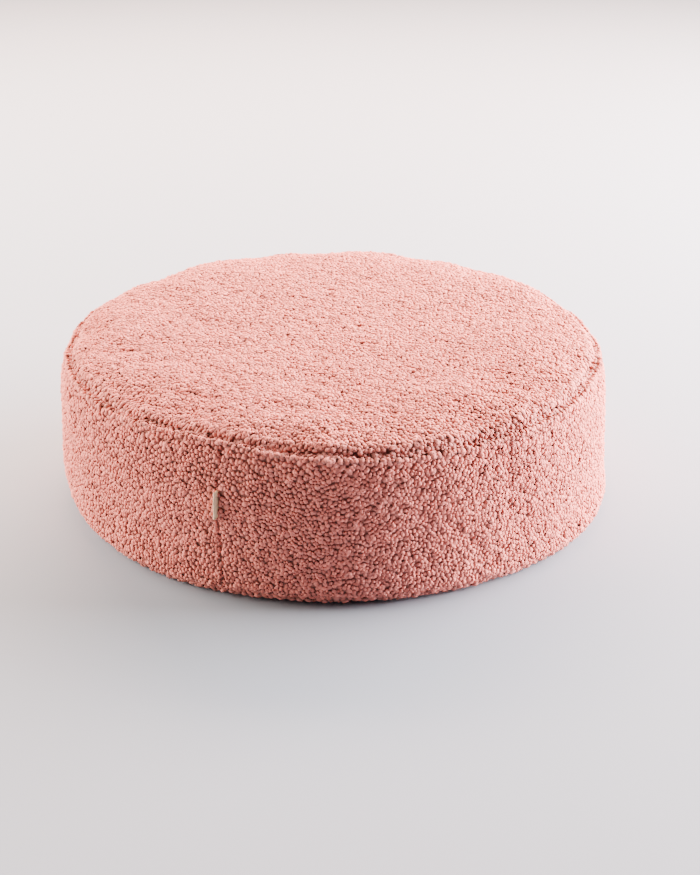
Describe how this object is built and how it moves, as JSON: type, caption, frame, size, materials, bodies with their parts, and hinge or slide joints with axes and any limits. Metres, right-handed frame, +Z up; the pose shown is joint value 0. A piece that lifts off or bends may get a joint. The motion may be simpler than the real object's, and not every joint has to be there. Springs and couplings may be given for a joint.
{
  "type": "ottoman",
  "caption": "Round low floor ottoman: one filled cushion in looped-pile cloth with a flat top panel, side band, drawn-in seams and a folded label tab.",
  "frame": {"origin": "middle of the flat underside, at floor level", "axes": "+Z up, -Y the front, where the side seam and its label tab show"},
  "size_m": [0.6515, 0.6477, 0.2],
  "materials": {
    "looped_pile": "matt, tightly curled pile",
    "cotton_tape": "matt, close weave"
  },
  "bodies": {
    "root": {"cushion": "looped_pile", "label_tab": "cotton_tape"}
  },
  "joints": []
}
